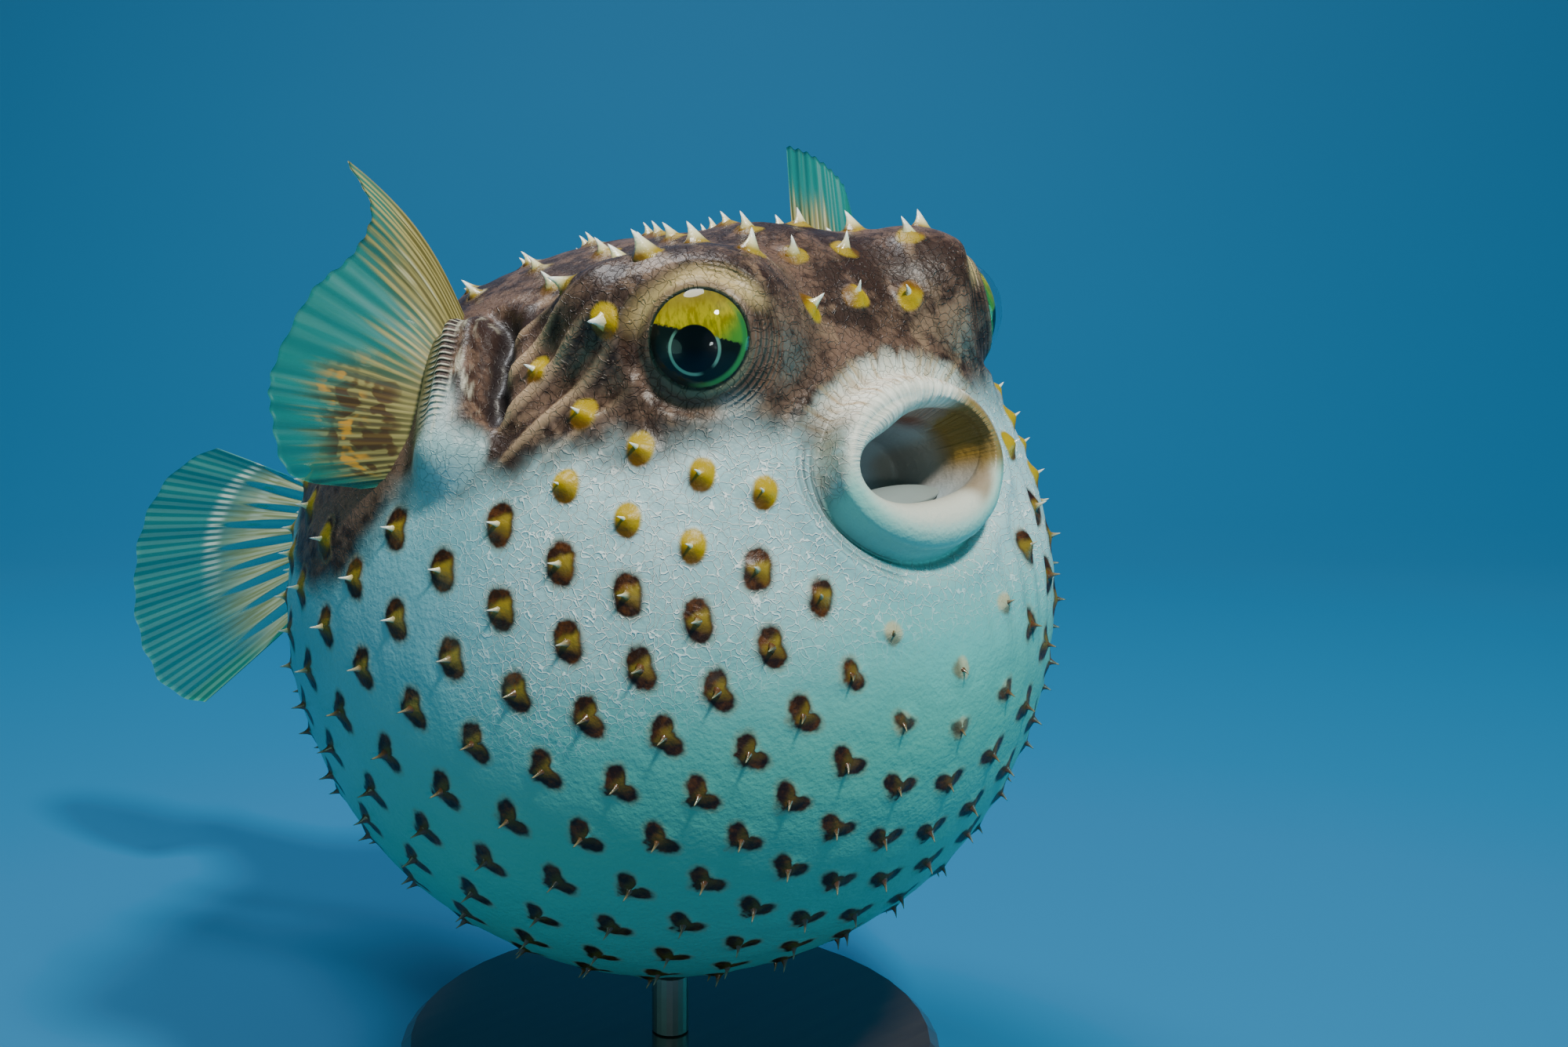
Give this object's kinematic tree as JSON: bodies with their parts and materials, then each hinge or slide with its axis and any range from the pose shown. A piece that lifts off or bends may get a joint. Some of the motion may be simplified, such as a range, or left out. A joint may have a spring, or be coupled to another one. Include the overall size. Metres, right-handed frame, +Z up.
{
  "type": "inflated spotbase burrfish",
  "caption": "Spotbase burrfish, a porcupine pufferfish, blown up into a ball: short fixed spines, open mouth, spread fins, as a still display model on a plain round stand.",
  "frame": {"origin": "middle of the underside of the stand's base", "axes": "+Z up, -Y the way the fish faces, +Y towards its tail, +X its left side"},
  "size_m": [0.1834, 0.2894, 0.2222],
  "materials": {
    "skin_back": "satin, grey-brown with yellow and brown marks",
    "skin_belly": "satin, white with dark-brown spots under the spines",
    "skin_tail": "satin, brown above and white below",
    "lip": "satin, cream white",
    "tongue_flesh": "satin, grey pink",
    "eyeball": "glossy, yellow iris with a black pupil",
    "fin_membrane": "satin, olive-yellow rays and clear membrane",
    "base_wood": "dark satin lacquer",
    "rod_steel": "brushed"
  },
  "bodies": {
    "root": {"head": "skin_back", "trunk": "skin_belly", "tail": "skin_tail", "lips": "lip", "tongue": "tongue_flesh", "eye_left": "eyeball", "eye_right": "eyeball", "pectoral_fin_left": "fin_membrane", "pectoral_fin_right": "fin_membrane", "caudal_fin": "fin_membrane", "dorsal_fin": "fin_membrane", "anal_fin": "fin_membrane", "stand_base": "base_wood", "stand_rod": "rod_steel"}
  },
  "joints": []
}
